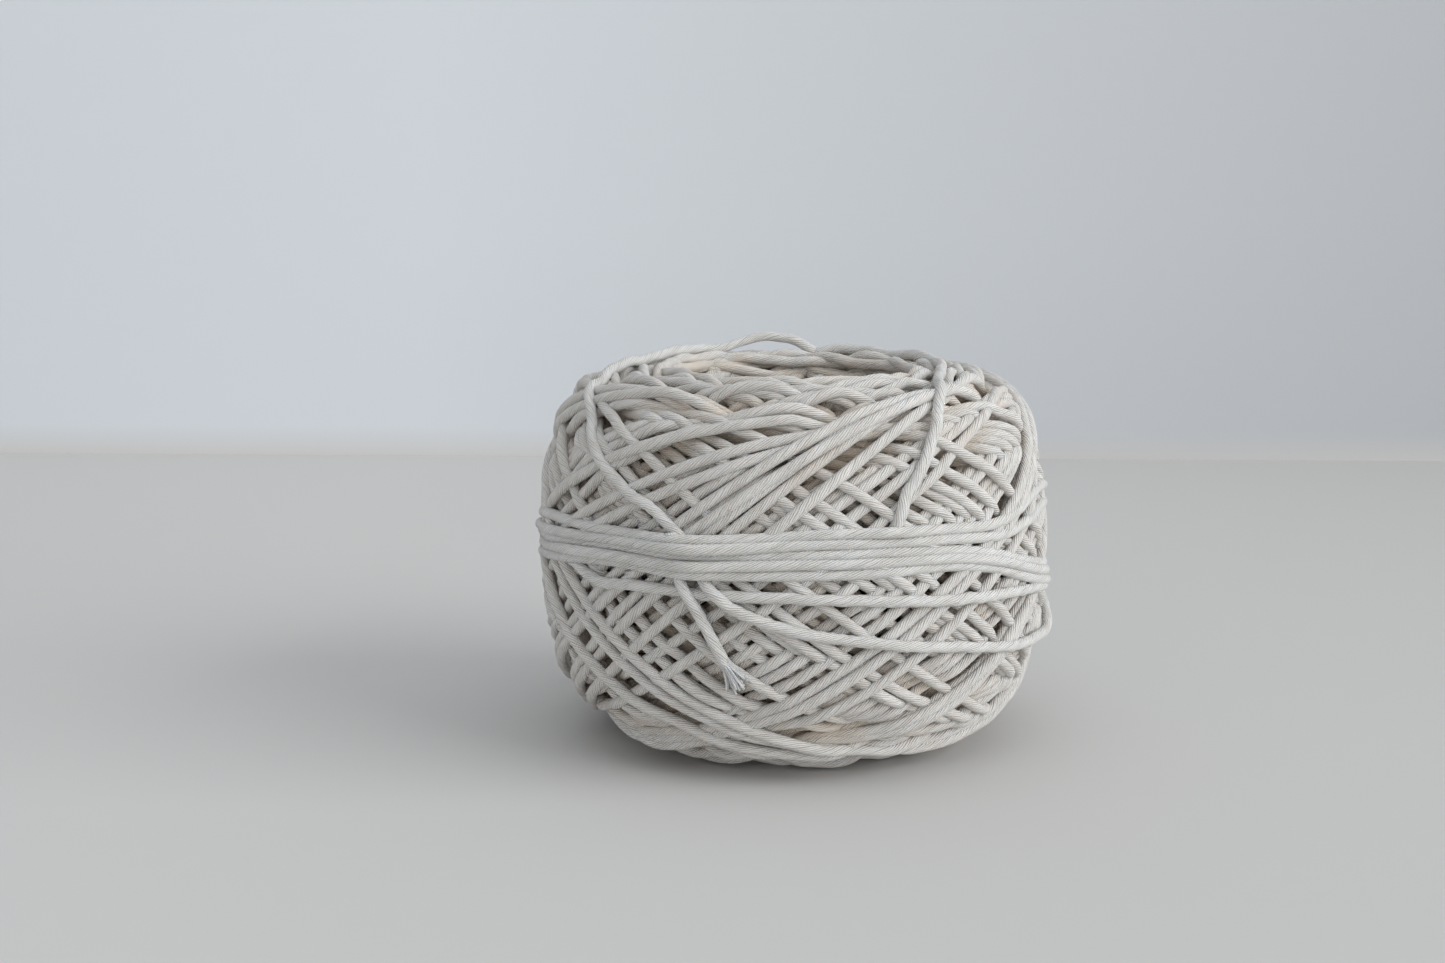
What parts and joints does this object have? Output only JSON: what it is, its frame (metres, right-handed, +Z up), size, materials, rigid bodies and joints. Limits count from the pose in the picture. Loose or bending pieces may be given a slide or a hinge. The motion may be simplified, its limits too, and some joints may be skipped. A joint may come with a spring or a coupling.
{
  "type": "twine ball",
  "caption": "Centre-pull ball of undyed single-twist cotton twine, crossed winding with a belt of wraps and one loose cut end.",
  "frame": {"origin": "axis of the centre hole, at the resting face", "axes": "+Z up along the centre hole; -Y is the front, where the cut end hangs; +X to the right of the front"},
  "size_m": [0.114, 0.1131, 0.0867],
  "materials": {
    "twine_inner": "matte",
    "twine_lattice": "matte",
    "twine_outer": "matte"
  },
  "bodies": {
    "root": {"winding_core": "twine_inner", "crossing_turn_1": "twine_lattice", "crossing_turn_2": "twine_lattice", "crossing_turn_3": "twine_lattice", "crossing_turn_4": "twine_lattice", "crossing_turn_5": "twine_lattice", "crossing_turn_6": "twine_lattice", "crossing_turn_7": "twine_lattice", "crossing_turn_8": "twine_lattice", "crossing_turn_9": "twine_lattice", "crossing_turn_10": "twine_lattice", "crossing_turn_11": "twine_lattice", "crossing_turn_12": "twine_lattice", "crossing_turn_13": "twine_lattice", "crossing_turn_14": "twine_lattice", "crossing_turn_15": "twine_lattice", "crossing_turn_16": "twine_lattice", "belly_wrap_1": "twine_outer", "belly_wrap_2": "twine_outer", "belly_wrap_3": "twine_outer", "belly_wrap_4": "twine_outer", "belly_wrap_5": "twine_outer", "loose_turn_upper": "twine_outer", "loose_turn_lower": "twine_outer", "tie_strand_left": "twine_outer", "tie_strand_right": "twine_outer", "cut_end": "twine_outer"}
  },
  "joints": []
}
